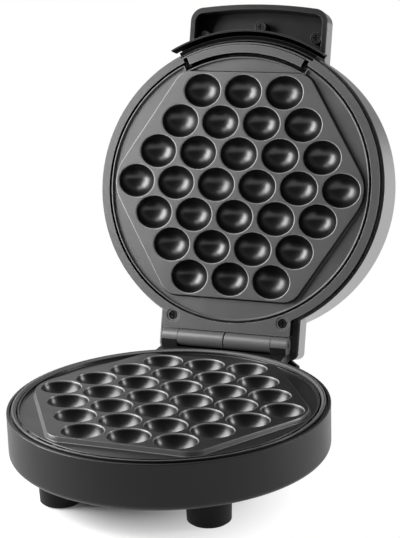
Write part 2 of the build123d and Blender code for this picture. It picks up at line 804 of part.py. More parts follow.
def in_base(piece):
    """Move a piece from behind a plate to its place in the base."""
    return Pos(0, 0, plate_top) * piece


def in_lid(piece):
    """Move a piece from behind a plate to its place in the closed lid, plate down."""
    return Pos(0, 0, lid_face) * Rot(0, 180, 0) * piece


def on_lid(piece):
    """Move a piece that is measured from the lid's face to its place in the closed lid."""
    return Pos(0, 0, lid_face) * piece


def opened(piece):
    """Turn a piece of the closed lid to where it rests when the lid stands open."""
    return piece.rotate(Axis((0, hinge_y, hinge_z), (1, 0, 0)), -open_angle)


def grouped(pieces):
    """One shape that holds the separate solids of several pieces."""
    return Compound([solid for piece in pieces for solid in piece.solids()])


def base_pieces():
    """Every piece of the base, by name."""
    pieces = {
        "base_housing": base_housing(),
        "base_trim_ring": in_base(base_trim_ring()),
        "base_cooking_plate": in_base(cooking_plate(plate_disc(plate_radius))),
        "base_heating_element": in_base(heating_element()),
        "base_element_clamps": in_base(grouped(element_clamps())),
        "base_element_beads": in_base(grouped(element_beads())),
        "base_heat_reflector": in_base(heat_reflector()),
        "base_thermal_fuse": in_base(thermal_fuse()),
        "base_screws": grouped(base_screws()),
        "terminal_block": terminal_block(),
        "cord_inlet_bush": cord_inlet_bush(),
        "hinge_pin": hinge_pin(),
    }
    for name, (x, y) in foot_places().items():
        pieces[f"{name}_foot"] = foot(x, y)
        pieces[f"{name}_foot_pad"] = foot_pad(x, y)
    return pieces


def lid_pieces():
    """Every piece of the lid, by name, in the closed position."""
    return {
        "lid_shell": on_lid(lid_shell()),
        "lid_frame": on_lid(lid_frame()),
        "lid_cooking_plate": in_lid(cooking_plate(stepped_disc())),
        "lid_heating_element": in_lid(heating_element()),
        "lid_element_clamps": in_lid(grouped(element_clamps())),
        "lid_element_beads": in_lid(grouped(element_beads())),
        "lid_heat_reflector": in_lid(heat_reflector()),
        "lid_plate_screws": in_lid(grouped(lid_plate_screws())),
        "lid_thermostat": in_lid(thermostat()),
        "lid_hinge_bracket": on_lid(hinge_bracket()),
        "lid_hinge_screws": on_lid(grouped(hinge_screws())),
        "handle_grip": on_lid(handle_grip()),
        "handle_screws": on_lid(grouped(handle_screws())),
        "handle_apron": on_lid(handle_apron()),
        "power_lens": on_lid(lens(-lens_x)),
        "ready_lens": on_lid(lens(lens_x)),
        "lamp_holder": on_lid(lamp_block()),
    }


def main():
    """Build every piece, place the frame's origin and write one file per piece."""
    pieces = base_pieces()
    pieces.update({name: opened(piece) for name, piece in lid_pieces().items()})
    outline = grouped(pieces.values()).bounding_box()
    shift = Pos(-(outline.min.X + outline.max.X) / 2, -(outline.min.Y + outline.max.Y) / 2, -outline.min.Z)
    os.makedirs("parts", exist_ok=True)
    for name, piece in pieces.items():
        export_step(shift * piece, f"parts/{name}.step")
    centre = shift.position
    print("base centre", tuple(round(value, 4) for value in centre))
    print("hinge axis", round(hinge_y + centre.Y, 4), round(hinge_z + centre.Z, 4))
    print("size", tuple(round(value, 3) for value in outline.size))


main()
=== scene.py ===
"""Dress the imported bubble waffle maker: its plates, housings, finishes, light and camera."""
import json
import logging
import math
from dataclasses import dataclass, field
from enum import Enum
from typing import Callable, Sequence

import bmesh
import bpy
from mathutils import Matrix, Vector
from mathutils.geometry import delaunay_2d_cdt


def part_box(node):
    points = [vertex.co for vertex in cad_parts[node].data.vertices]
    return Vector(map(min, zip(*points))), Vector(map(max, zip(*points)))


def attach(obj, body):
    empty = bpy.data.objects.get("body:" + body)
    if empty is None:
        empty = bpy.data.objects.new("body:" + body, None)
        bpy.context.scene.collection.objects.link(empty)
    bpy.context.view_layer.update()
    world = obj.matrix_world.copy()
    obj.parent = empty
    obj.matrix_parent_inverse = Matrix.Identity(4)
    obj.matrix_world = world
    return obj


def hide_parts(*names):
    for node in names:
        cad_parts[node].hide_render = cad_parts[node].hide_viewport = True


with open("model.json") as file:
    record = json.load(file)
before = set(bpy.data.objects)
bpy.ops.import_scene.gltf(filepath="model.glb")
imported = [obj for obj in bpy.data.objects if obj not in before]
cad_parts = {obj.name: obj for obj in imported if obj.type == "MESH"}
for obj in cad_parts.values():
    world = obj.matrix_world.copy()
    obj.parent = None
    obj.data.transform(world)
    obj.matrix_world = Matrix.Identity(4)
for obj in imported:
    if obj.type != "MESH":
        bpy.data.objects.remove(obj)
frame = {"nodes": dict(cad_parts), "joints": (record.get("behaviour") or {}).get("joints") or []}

MM = 0.001
WELD = 0.002 * MM
FLAT_ENOUGH = math.radians(0.4)
KNUCKLE_REACH = 6.3 * MM
CLOSING_GAP = 2.2 * MM
INSIDE_OUTLINE = 1
CDT_PRECISION = 1e-9
EDGE_HIGHLIGHT_SLOT = 1
FIRST_PATCH_SLOT = 2
LOG = logging.getLogger("waffle_maker")
BMesh = bmesh.types.BMesh
Node = bpy.types.Node
Socket = bpy.types.NodeSocket
Pair = tuple[float, float]
Triple = tuple[float, float, float]
Colour = Triple
Ring = list[Vector]
WHITE: Colour = (1.0, 1.0, 1.0)


class Body(Enum):
    """The two bodies that the hinge joins."""

    BASE = "base"
    LID = "lid"


class Slot(Enum):
    """The record's material slots, one named by each new piece."""

    HOUSING = "housing_plastic"
    TRIM = "trim_plastic"
    COATING = "non_stick_coating"
    SHELL = "shell_metal"
    RUBBER = "rubber_black"


# Shader node groups and finishes


class NodeSketch:
    """Short way to add, set and link the nodes of one tree."""

    def __init__(self, tree: bpy.types.NodeTree) -> None:
        """Keep the tree that nodes go into."""
        self.tree = tree

    def node(self, kind: str, **settings: object) -> Node:
        """Add a node and set its properties.

        Args:
            kind: Blender's name of the node's type.
            settings: Properties of the node, by name.

        Returns:
            The new node.
        """
        made = self.tree.nodes.new(kind)
        for name, value in settings.items():
            setattr(made, name, value)
        return made

    def link(self, source: Socket, target: Socket) -> None:
        """Join an output to an input."""
        self.tree.links.new(source, target)

    def maths(self, operation: str, first: object, second: object = None) -> Socket:
        """Add a Math node whose inputs are sockets or numbers.

        Args:
            operation: Blender's name of the operation.
            first: First input.
            second: Second input, for the operations that have one.

        Returns:
            The node's output.
        """
        made = self.node("ShaderNodeMath", operation=operation)
        for socket, value in zip(made.inputs, (first, second)):
            if isinstance(value, Socket):
                self.link(value, socket)
            elif value is not None:
                socket.default_value = value
        return made.outputs[0]

    def spread(self, value: Socket, low: float, high: float, start: float = 0.0,
               end: float = 1.0) -> Socket:
        """Map a value from one range to another, held inside it.

        Args:
            value: The socket to map.
            low: Start of the range that it comes from.
            high: End of the range that it comes from.
            start: Result at low.
            end: Result at high.

        Returns:
            The mapped value.
        """
        made = self.node("ShaderNodeMapRange", clamp=True)
        self.link(value, made.inputs["Value"])
        ends = {"From Min": low, "From Max": high, "To Min": start, "To Max": end}
        for name, number in ends.items():
            made.inputs[name].default_value = number
        return made.outputs["Result"]

    def blend(self, share: Socket, first: object, second: object) -> Socket:
        """Mix two colours.

        Args:
            share: How much of the second colour shows.
            first: Socket or colour.
            second: Socket or colour.

        Returns:
            The mixed colour.
        """
        made = self.node("ShaderNodeMix", data_type="RGBA")
        self.link(share, made.inputs["Factor"])
        for name, value in (("A", first), ("B", second)):
            socket = next(s for s in made.inputs if s.name == name and s.type == "RGBA")
            if isinstance(value, Socket):
                self.link(value, socket)
            else:
                socket.default_value = (*value, 1.0)
        return next(s for s in made.outputs if s.type == "RGBA")

    def surface_place(self) -> Socket:
        """Return the place on the surface, in the piece's own coordinates."""
        return self.node("ShaderNodeTexCoord").outputs["Object"]

    def noise(self, place: Socket, scale: Socket, detail: float,
              distortion: float = 0.0) -> Socket:
        """Add a noise texture.

        Args:
            place: Where the noise is read.
            scale: How fine it is.
            detail: How many finer layers it has.
            distortion: How far it is drawn out of shape.

        Returns:
            The noise, from 0 to 1.
        """
        made = self.node("ShaderNodeTexNoise")
        made.inputs["Detail"].default_value = detail
        made.inputs["Distortion"].default_value = distortion
        self.link(place, made.inputs["Vector"])
        self.link(scale, made.inputs["Scale"])
        return made.outputs["Fac"]


@dataclass(frozen=True)
class EffectGroup:
    """A shader node group with named values in and out, built once."""

    name: str
    inputs: tuple[tuple[str, float], ...]
    outputs: tuple[str, ...]
    build: Callable[[NodeSketch, Node, Node], None]

    def tree(self) -> bpy.types.NodeTree:
        """Build the group's tree the first time, and find it after that.

        Returns:
            The tree.
        """
        known = bpy.data.node_groups.get(self.name)
        if known:
            return known
        tree = bpy.data.node_groups.new(self.name, "ShaderNodeTree")
        kind = "NodeSocketFloat"
        for name, value in self.inputs:
            socket = tree.interface.new_socket(name, in_out="INPUT", socket_type=kind)
            socket.default_value = value
        for name in self.outputs:
            tree.interface.new_socket(name, in_out="OUTPUT", socket_type=kind)
        sketch = NodeSketch(tree)
        self.build(sketch, sketch.node("NodeGroupInput"), sketch.node("NodeGroupOutput"))
        return tree

    def place(self, sketch: NodeSketch, **values: float) -> Node:
        """Put the group into a material.

        Args:
            sketch: The material's tree.
            values: The material's own values, by input name with underscores for spaces.

        Returns:
            The group's node.
        """
        made = sketch.node("ShaderNodeGroup")
        made.node_tree = self.tree()
        for name, value in values.items():
            made.inputs[name.replace("_", " ").capitalize()].default_value = value
        return made


GRAIN_SIZES = (1.0, 2.7)
FINE_GRAIN_SHARE = 0.5
PATCH_START, PATCH_FULL = 0.42, 0.68
ALONG_X = (0.02, 1.0, 1.0)


def build_grain(sketch: NodeSketch, given: Node, result: Node) -> None:
    """Spark-eroded mould grain: two sizes of fine noise as one height.

    Args:
        sketch: The group's tree.
        given: The node with the group's inputs.
        result: The node with the group's outputs.
    """
    place = sketch.surface_place()
    coarse, fine = (
        sketch.noise(place, sketch.maths("MULTIPLY", given.outputs["Scale"], size), detail=2.0)
        for size in GRAIN_SIZES)
    height = sketch.maths("ADD", coarse, sketch.maths("MULTIPLY", fine, FINE_GRAIN_SHARE))
    sketch.link(height, result.inputs["Height"])


def build_marks(sketch: NodeSketch, given: Node, result: Node) -> None:
    """Faint uneven sheen from handling: a slow noise, drawn together into patches.

    Args:
        sketch: The group's tree.
        given: The node with the group's inputs.
        result: The node with the group's outputs.
    """
    slow = sketch.noise(sketch.surface_place(), given.outputs["Scale"], detail=5.0, distortion=0.6)
    patches = sketch.spread(slow, PATCH_START, PATCH_FULL)
    change = sketch.maths("MULTIPLY", patches, given.outputs["Strength"])
    sketch.link(change, result.inputs["Sheen change"])


def build_speckle(sketch: NodeSketch, given: Node, result: Node) -> None:
    """Tiny pale flecks of a sprayed coating.

    Args:
        sketch: The group's tree.
        given: The node with the group's inputs.
        result: The node with the group's outputs.
    """
    cells = sketch.node("ShaderNodeTexVoronoi")
    sketch.link(sketch.surface_place(), cells.inputs["Vector"])
    sketch.link(given.outputs["Scale"], cells.inputs["Scale"])
    near = sketch.maths("LESS_THAN", cells.outputs["Distance"], given.outputs["Size"])
    sketch.link(near, result.inputs["Fleck"])


def build_lines(sketch: NodeSketch, given: Node, result: Node) -> None:
    """Fine lines of brushed metal that run across the piece, along X.

    Args:
        sketch: The group's tree.
        given: The node with the group's inputs.
        result: The node with the group's outputs.
    """
    stretch = sketch.node("ShaderNodeMapping")
    stretch.inputs["Scale"].default_value = ALONG_X
    sketch.link(sketch.surface_place(), stretch.inputs["Vector"])
    line = sketch.noise(stretch.outputs["Vector"], given.outputs["Scale"], detail=3.0)
    sketch.link(line, result.inputs["Line"])


GRAIN = EffectGroup("moulded_grain", (("Scale", 2500.0),), ("Height",), build_grain)
MARKS = EffectGroup("handling_marks", (("Scale", 22.0), ("Strength", 0.08)), ("Sheen change",),
                    build_marks)
SPECKLE = EffectGroup("coating_speckle", (("Scale", 900.0), ("Size", 0.16)), ("Fleck",),
                      build_speckle)
LINES = EffectGroup("brushed_lines", (("Scale", 900.0),), ("Line",), build_lines)


MADE_FINISHES: dict[str, bpy.types.Material] = {}
FINE_GRAIN = 0.012 * MM
LIP_TO_ONE = 4.0  # near * (1 - near) is at most a quarter


def grey(level: float) -> Colour:
    """Return a neutral colour."""
    return (level, level, level)


@dataclass(frozen=True)
class Finish:
    """What every finish has: a name, a colour, and how rough and shiny it is."""

    name: str
    colour: Colour
    roughness: float
    specular: float = 0.5
    metallic: float = 0.0

    def material(self) -> bpy.types.Material:
        """Make the finish's material the first time, and find it after that.

        Returns:
            The material.
        """
        if self.name in MADE_FINISHES:
            return MADE_FINISHES[self.name]
        made = MADE_FINISHES[self.name] = bpy.data.materials.new(self.name)
        made.use_nodes = True
        made.diffuse_color = (*self.colour, 1.0)
        shader = made.node_tree.nodes["Principled BSDF"]
        shader.inputs["Base Color"].default_value = (*self.colour, 1.0)
        shader.inputs["Roughness"].default_value = self.roughness
        shader.inputs["Specular IOR Level"].default_value = self.specular
        shader.inputs["Metallic"].default_value = self.metallic
        self.dress(NodeSketch(made.node_tree), shader)
        return made

    def dress(self, sketch: NodeSketch, shader: Node) -> None:
        """Add what is special to the finish."""

    def bump(self, sketch: NodeSketch, shader: Node, height: Socket, distance: float) -> None:
        """Feed a height into the shader's normal.

        Args:
            sketch: The material's tree.
            shader: The shader that gets the normal.
            height: The height, from 0 to about 1.
            distance: How high 1 is, in metres.
        """
        bump = sketch.node("ShaderNodeBump")
        bump.inputs["Strength"].default_value = 1.0
        bump.inputs["Distance"].default_value = distance
        sketch.link(height, bump.inputs["Height"])
        sketch.link(bump.outputs["Normal"], shader.inputs["Normal"])


@dataclass(frozen=True)
class HandledFinish(Finish):
    """A finish that may have fine grain in its surface and faint handling marks in its sheen."""

    grain_scale: float = 2500.0
    grain_depth: float = 0.02 * MM
    mark_scale: float = 20.0
    mark_strength: float = 0.07

    def add_grain(self, sketch: NodeSketch, shader: Node) -> None:
        """Add the grain to the surface."""
        grain = GRAIN.place(sketch, scale=self.grain_scale)
        self.bump(sketch, shader, grain.outputs["Height"], self.grain_depth)

    def add_marks(self, sketch: NodeSketch, shader: Node, roughness: object) -> None:
        """Let handling marks change the roughness.

        Args:
            sketch: The material's tree.
            shader: The shader whose roughness changes.
            roughness: Socket or number that the marks are added to.
        """
        marks = MARKS.place(sketch, scale=self.mark_scale, strength=self.mark_strength)
        rougher = sketch.maths("ADD", marks.outputs["Sheen change"], roughness)
        sketch.link(rougher, shader.inputs["Roughness"])


@dataclass(frozen=True)
class MouldedPlastic(HandledFinish):
    """Plastic with fine mould grain and faint marks from handling."""

    def dress(self, sketch: NodeSketch, shader: Node) -> None:
        """Add grain to the surface and marks to its sheen."""
        self.add_grain(sketch, shader)
        self.add_marks(sketch, shader, self.roughness)


@dataclass(frozen=True)
class NonStickCoating(HandledFinish):
    """Sprayed non-stick coating: satin on the flats, darker where a cup is polished, with a
    painted highlight along each rim.
    """

    grain_scale: float = 1800.0
    grain_depth: float = 0.015 * MM
    mark_scale: float = 35.0
    mark_strength: float = 0.06
    cup_colour: Colour = grey(0.004)
    cup_roughness: float = 0.29
    # painted highlight: a pale colour along the rims, standing in for the light that they catch
    lip_highlight_colour: Colour = grey(0.3)
    lip_highlight_share: float = 0.7
    lip_narrowness: float = 3.0
    fleck_colour: Colour = grey(0.16)
    fleck_share: float = 0.25
    fleck_scale: float = 1400.0
    fleck_size: float = 0.12

    def dress(self, sketch: NodeSketch, shader: Node) -> None:
        """Mix the looks of flats and cups by the mesh's cup mask, with flecks and a painted
        highlight along each lip.

        Args:
            sketch: The material's tree.
            shader: The shader that is dressed.
        """
        mask = sketch.node("ShaderNodeAttribute", attribute_name="cup_mask").outputs["Fac"]
        near = sketch.maths("SQRT", mask)
        lip = sketch.maths("MULTIPLY", near, sketch.maths("SUBTRACT", 1.0, near))
        lip = sketch.maths("MULTIPLY", lip, LIP_TO_ONE)
        lip = sketch.maths("POWER", lip, self.lip_narrowness)
        base = sketch.blend(mask, self.colour, self.cup_colour)
        # painted highlight: the lip's pale colour where the mask starts to rise, at each rounded
        # rim
        base = sketch.blend(sketch.maths("MULTIPLY", lip, self.lip_highlight_share), base, self.lip_highlight_colour)
        flecks = SPECKLE.place(sketch, scale=self.fleck_scale, size=self.fleck_size)
        share = sketch.maths("MULTIPLY", flecks.outputs["Fleck"], self.fleck_share)
        base = sketch.blend(share, base, self.fleck_colour)
        sketch.link(base, shader.inputs["Base Color"])
        rough = sketch.spread(mask, 0.0, 1.0, self.roughness, self.cup_roughness)
        self.add_marks(sketch, shader, rough)
        self.add_grain(sketch, shader)


@dataclass(frozen=True)
class SatinMetal(Finish):
    """Metal with fine brushed lines."""

    line_scale: float = 900.0
    line_depth: float = 0.006 * MM
    line_range: Pair = (0.3, 0.7)
    smoother: float = 0.04
    rougher: float = 0.05

    def dress(self, sketch: NodeSketch, shader: Node) -> None:
        """Add the lines to the roughness and the height.

        Args:
            sketch: The material's tree.
            shader: The shader that is dressed.
        """
        line = LINES.place(sketch, scale=self.line_scale).outputs["Line"]
        rough = sketch.spread(line, *self.line_range, self.roughness - self.smoother,
                              self.roughness + self.rougher)
        sketch.link(rough, shader.inputs["Roughness"])
        self.bump(sketch, shader, line, self.line_depth)


@dataclass(frozen=True)
class LensPlastic(HandledFinish):
    """Clear tinted plastic of an indicator lens."""

    mark_scale: float = 400.0
    mark_strength: float = 0.03
    clearness: float = 0.35
    gloss: float = 0.6

    def dress(self, sketch: NodeSketch, shader: Node) -> None:
        """Let light into the plastic, and make it faintly uneven.

        Args:
            sketch: The material's tree.
            shader: The shader that is dressed.
        """
        shader.inputs["Transmission Weight"].default_value = self.clearness
        shader.inputs["Coat Weight"].default_value = self.gloss
        self.add_marks(sketch, shader, self.roughness)


class Finishes:
    """The appliance's finishes, by name."""

    housing = MouldedPlastic("black_moulded_plastic", grey(0.005), 0.35, specular=0.33)
    foot = MouldedPlastic("black_foot_plastic", grey(0.003), 0.5, specular=0.15)
    trim = MouldedPlastic("black_trim_plastic", grey(0.012), 0.34, specular=0.3,
                          grain_depth=FINE_GRAIN)
    # painted highlight: a paler grey on the trim ring's inner slope, standing in for the light it
    # catches
    slope = MouldedPlastic("trim_slope_painted_highlight", grey(0.1), 0.34, grain_depth=FINE_GRAIN)
    frame = MouldedPlastic("lid_frame_plastic", grey(0.055), 0.4)
    # painted highlight: the knuckles are the housing's and the frame's own plastic, made lighter
    # and glossier to stand in for light along the barrels
    knuckle = MouldedPlastic("glossy_knuckle_plastic", grey(0.075), 0.3, specular=1.0)
    groove = MouldedPlastic("shaded_groove_plastic", grey(0.002), 0.6, specular=0.02)
    grip = MouldedPlastic("grip_plastic", grey(0.018), 0.34, specular=0.2)
    bar = MouldedPlastic("grip_bar_plastic", grey(0.004), 0.34, specular=0.2)
    # painted highlight: paler greys on the small rounded edges, standing in for the light that
    # they catch
    black_edge_highlight = MouldedPlastic("black_edge_painted_highlight", grey(0.035), 0.3, specular=0.3)
    grey_edge_highlight = MouldedPlastic("grey_edge_painted_highlight", grey(0.22), 0.3)
    # painted shade: the lower plate's coating is a darker, less shiny copy of the lid plate's,
    # standing in for the shade it sits in
    coating = NonStickCoating("sprayed_non_stick_coating", grey(0.038), 0.38, specular=0.8)
    shaded_coating = NonStickCoating("non_stick_coating_painted_shade", grey(0.006), 0.3, specular=0.5)
    shell = SatinMetal("satin_silver_metal", (0.3, 0.3, 0.304), 0.32, metallic=1.0)
    steel = SatinMetal("plated_steel", (0.55, 0.55, 0.56), 0.3, metallic=1.0)
    dark_screw = SatinMetal("dull_black_steel", grey(0.004), 0.42, specular=0.25)
    tube = SatinMetal("heat_tinted_steel", (0.3, 0.26, 0.22), 0.4, metallic=1.0)
    sheet = SatinMetal("bright_aluminium_sheet", (0.75, 0.75, 0.76), 0.32, metallic=1.0)
    rubber = MouldedPlastic("black_rubber", grey(0.012), 0.75, specular=0.3,
                            grain_depth=0.04 * MM)
    ceramic = MouldedPlastic("white_ceramic", (0.75, 0.73, 0.68), 0.35, grain_scale=1200.0)
    nylon = MouldedPlastic("natural_nylon", (0.7, 0.69, 0.64), 0.45)
    brown = MouldedPlastic("brown_bakelite", (0.08, 0.045, 0.025), 0.4)
    red_lens = LensPlastic("red_lens", (0.45, 0.015, 0.01), 0.12)
    green_lens = LensPlastic("green_lens", (0.02, 0.3, 0.05), 0.12)


# Mesh helpers


def new_object(name: str, mesh: bpy.types.Mesh) -> bpy.types.Object:
    """Put a mesh into the scene as an object at the origin.

    Args:
        name: The object's name.
        mesh: Its mesh.

    Returns:
        The new object.
    """
    made = bpy.data.objects.new(name, mesh)
    bpy.context.scene.collection.objects.link(made)
    return made


def plain_mesh(piece: bpy.types.Object) -> bpy.types.Mesh:
    """Work out a piece's mesh as its modifiers leave it.

    Args:
        piece: The piece, which stays as it is.

    Returns:
        The plain mesh.
    """
    bpy.context.view_layer.update()
    graph = bpy.context.evaluated_depsgraph_get()
    return bpy.data.meshes.new_from_object(piece.evaluated_get(graph))


def encloses(ring: Ring, place: Vector) -> bool:
    """Tell whether a closed outline goes round a place, seen from above.

    Args:
        ring: The outline.
        place: The place.

    Returns:
        True where the place is inside.
    """
    inside = False
    for first, second in zip(ring, [*ring[1:], ring[0]]):
        if (first.y > place.y) != (second.y > place.y):
            share = (place.y - first.y) / (second.y - first.y)
            inside ^= place.x < first.x + share * (second.x - first.x)
    return inside


def finish_piece(piece: bpy.types.Object, finish: Finish, body: Body,
                 nodes: Sequence[str]) -> None:
    """Give a piece its material, hang it on its body, hide the nodes it replaces and log them.

    Args:
        piece: The piece, at the origin.
        finish: Its finish.
        body: The body that it rides on.
        nodes: The CAD nodes that it replaces.
    """
    if not piece.data.materials:
        piece.data.materials.append(finish.material())
    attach(piece, body.value)
    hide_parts(*nodes)
    LOG.info("%s stands for %s", piece.name, ", ".join(nodes))


@dataclass
class SmoothedPiece:
    """A rigid CAD node, copied and given smooth curves and small rounded edges, which may take a
    paler finish as a painted highlight.
    """

    node: str
    name: str
    finish: Finish
    body: Body
    slot: Slot
    edge_highlight: Finish | None = None
    patches: tuple[tuple[Finish, Callable[[Vector], bool]], ...] = ()
    edge_round: float = 0.35 * MM
    edge_steps: int = 2
    crease: float = math.radians(24.0)

    def build(self) -> bpy.types.Object:
        """Copy, merge, round and smooth the node.

        Returns:
            The piece, riding on its body in place of the node.
        """
        mesh = frame["nodes"][self.node].data.copy()
        mesh.materials.clear()
        shape = bmesh.new()
        shape.from_mesh(mesh)
        bmesh.ops.remove_doubles(shape, verts=shape.verts, dist=WELD)
        bmesh.ops.dissolve_limit(shape, angle_limit=FLAT_ENOUGH, verts=shape.verts,
                                 edges=shape.edges, use_dissolve_boundaries=False)
        outward = shape.edges.layers.float.new("bevel_weight_edge")
        for edge in shape.edges:
            edge[outward] = edge.is_manifold and edge.calc_face_angle_signed() > self.crease
        for index, (_, holds) in enumerate(self.patches, start=FIRST_PATCH_SLOT):
            for face in shape.faces:
                if holds(face.calc_center_median()):
                    face.material_index = index
        shape.to_mesh(mesh)
        shape.free()
        mesh.shade_smooth()
        mesh.set_sharp_from_angle(angle=self.crease)
        piece = new_object(self.name, mesh)
        bevel = piece.modifiers.new("edge_round", "BEVEL")
        bevel.width = self.edge_round
        bevel.segments = self.edge_steps
        bevel.limit_method = "WEIGHT"
        bevel.harden_normals = True
        bevel.use_clamp_overlap = True
        # painted highlight: the rounded edges take the paler finish
        if self.edge_highlight:
            mesh.materials.append(self.finish.material())
            mesh.materials.append(self.edge_highlight.material())
            bevel.material = EDGE_HIGHLIGHT_SLOT
        for finish, _ in self.patches:
            mesh.materials.append(finish.material())
        weigh = piece.modifiers.new("weighted_normals", "WEIGHTED_NORMAL")
        weigh.keep_sharp = True
        rounded = plain_mesh(piece)
        piece.modifiers.clear()
        piece.data = rounded
        finish_piece(piece, self.finish, self.body, [self.node])
        return piece


# Cooking plates


@dataclass
class CookingPlate:
    """One cast plate, with its land at local Z = 0 and its cups open upwards."""

    node: str
    name: str
    body: Body
    place: Matrix
    finish: Finish
    cups_in_rows: tuple[int, ...] = (3, 4, 5, 6, 5, 4, 3)
    cup_pitch: float = 31.0 * MM
    row_pitch: float = 22.5 * MM
    cup_half_length: float = 14.0 * MM
    cup_half_width: float = 12.25 * MM
    cup_centre_rise: float = 1.0 * MM
    cup_rim_round: float = 0.65 * MM
    cup_sides: int = 60
    cup_rows: int = 14
    plate_radius: float = 98.7 * MM
    moat_depth: float = 3.2 * MM
    plate_back: float = 6.7 * MM
    slab_back: float = 13.85 * MM
    land_end_margin: float = 13.9 * MM
    land_corner_spread: float = 17.0 * MM
    land_middle_margin: float = 21.1 * MM
    land_corner_round: float = 14.0 * MM
    land_side_round: float = 27.0 * MM
    land_draft: float = 0.6 * MM
    land_edge_round: float = 0.55 * MM
    # painted shade and highlight: how far the land's sides take the cups' dark colour, with the
    # lip's pale colour where they start
    side_painted_light: float = 0.0
    side_light_from: float = 0.25
    rim_play: float = 0.5 * MM
    bead_width: float = 1.2 * MM
    bead_drop: float = 1.2 * MM
    bead_round: float = 0.5 * MM
    inner_round: float = 0.6 * MM
    step_depth: float = 0.0
    step_half_angle: float = math.radians(28.0)
    support: float = 0.12 * MM
    crease: float = math.radians(40.0)
    round_steps: int = 4
    corner_steps: int = 10
    rim_sides: int = 160

    def cup_centres(self) -> list[Pair]:
        """Return the centre of every cup, row by row."""
        middle = (len(self.cups_in_rows) - 1) / 2
        return [((column - (count - 1) / 2) * self.cup_pitch, (row - middle) * self.row_pitch)
                for row, count in enumerate(self.cups_in_rows) for column in range(count)]

    def land_line(self, growth: float, level: float) -> Ring:
        """Work out the land's six-sided outline with its round corners.

        Args:
            growth: How far the outline is moved outward.
            level: Its level.

        Returns:
            The outline, anticlockwise from above.
        """
        end_x = (self.cups_in_rows[0] - 1) / 2 * self.cup_pitch + self.land_corner_spread
        end_y = (len(self.cups_in_rows) - 1) / 2 * self.row_pitch + self.land_end_margin
        side_x = (max(self.cups_in_rows) - 1) / 2 * self.cup_pitch + self.land_middle_margin
        end, side = self.land_corner_round, self.land_side_round
        corners = [(end_x, -end_y, end), (side_x, 0, side), (end_x, end_y, end),
                   (-end_x, end_y, end), (-side_x, 0, side), (-end_x, -end_y, end)]
        places = [Vector(corner[:2]) for corner in corners]
        ring = []
        for index, (place, (_, _, radius)) in enumerate(zip(places, corners)):
            before = (place - places[index - 1]).normalized()
            after = (places[(index + 1) % len(places)] - place).normalized()
            first, last = Vector((before.y, -before.x)), Vector((after.y, -after.x))
            centre = place - (first + last) * radius / (1 + first.dot(last))
            start = math.atan2(first.y, first.x)
            sweep = (math.atan2(last.y, last.x) - start) % math.tau
            for step in range(self.corner_steps + 1):
                turn = start + sweep * step / self.corner_steps
                way = Vector((math.cos(turn), math.sin(turn)))
                ring.append((centre + way * (radius + growth)).to_3d() + Vector((0, 0, level)))
        return ring

    def rim_line(self, inset: float, level: float) -> Ring:
        """Work out the plate's outer edge, which on a stepped plate steps in at the front.

        Args:
            inset: How far the edge is set in.
            level: Its level.

        Returns:
            The edge, anticlockwise from above.
        """
        inset += self.rim_play
        half = self.step_half_angle + inset / self.plate_radius if self.step_depth else 0.0
        front = -math.pi / 2
        outer_steps = round(self.rim_sides * (1 - half / math.pi))
        reach = self.plate_radius - inset
        places = [(front + half + (math.tau - 2 * half) * index / outer_steps, reach)
                  for index in range(outer_steps + bool(self.step_depth))]
        if self.step_depth:
            steps = self.rim_sides - outer_steps
            reach = self.plate_radius - self.step_depth - inset
            places += [(front - half + 2 * half * index / steps, reach)
                       for index in range(steps + 1)]
        return [Vector((radius * math.cos(turn), radius * math.sin(turn), level))
                for turn, radius in places]

    def cup_outline(self, outward: float, depth: float) -> Ring:
        """Work out the line of a cup's wall at a depth, about the cup's own centre.

        Args:
            outward: How far the line is moved outward.
            depth: How far it lies below the land.

        Returns:
            The line, anticlockwise from above.
        """
        length, width = self.cup_half_length, self.cup_half_width
        share = math.sqrt(1 - ((self.cup_centre_rise + depth) / width) ** 2)
        ring = []
        for index in range(self.cup_sides):
            turn = math.tau * index / self.cup_sides
            way = Vector((math.cos(turn) / length, math.sin(turn) / width, 0))
            wall = Vector((length * math.cos(turn), width * math.sin(turn), 0)) * share
            ring.append(wall + way.normalized() * outward + Vector((0, 0, -depth)))
        return ring

    @staticmethod
    def strip(shape: BMesh, rings: Sequence[Ring], shares: Sequence[float] = (),
              flip: bool = False) -> None:
        """Join rings of equally many points with quads.

        Args:
            shape: The mesh that gets the faces.
            rings: The rings, in order.
            shares: The cup mask along each ring, where it isn't plain; on sides it is painted
                shade, with a painted highlight where it starts to rise.
            flip: Turn the faces the other way.
        """
        rows = [[shape.verts.new(point) for point in ring] for ring in rings]
        layer = shape.verts.layers.float.get("cup_mask")
        for row, share in zip(rows, shares):
            for vert in row:
                vert[layer] = share
        for first, second in zip(rows, rows[1:]):
            for index in range(len(first)):
                after = (index + 1) % len(first)
                quad = (first[index], first[after], second[after], second[index])
                shape.faces.new(quad[::-1] if flip else quad)

    @staticmethod
    def flat(shape: BMesh, outer: Ring, holes: Sequence[Ring], level: float, up: bool) -> None:
        """Fill a level area between an outline and its holes.

        Args:
            shape: The mesh that gets the faces.
            outer: The outline.
            holes: The outlines left open.
            level: The area's level.
            up: Whether the faces point up.
        """
        points, edges = [], []
        for ring in (outer, *holes):
            start = len(points)
            points += [Vector((point.x, point.y)) for point in ring]
            count = len(ring)
            edges += [(start + index, start + (index + 1) % count) for index in range(count)]
        found, _, faces, *_ = delaunay_2d_cdt(points, edges, [], INSIDE_OUTLINE, CDT_PRECISION)
        verts = [shape.verts.new((point.x, point.y, level)) for point in found]
        for corners in faces:
            middle = sum((found[corner] for corner in corners), Vector((0, 0))) / len(corners)
            if any(encloses(ring, middle) for ring in holes) or not encloses(outer, middle):
                continue
            turn = corners if up else corners[::-1]
            shape.faces.new([verts[corner] for corner in turn])

    def quarter(self) -> list[Pair]:
        """Work out the curve of a rounded edge.

        Returns:
            The sine, and one minus the cosine, of evenly spaced angles up to a right angle.
        """
        steps = self.round_steps
        turns = [math.pi / 2 * step / steps for step in range(steps + 1)]
        return [(math.sin(turn), 1 - math.cos(turn)) for turn in turns]

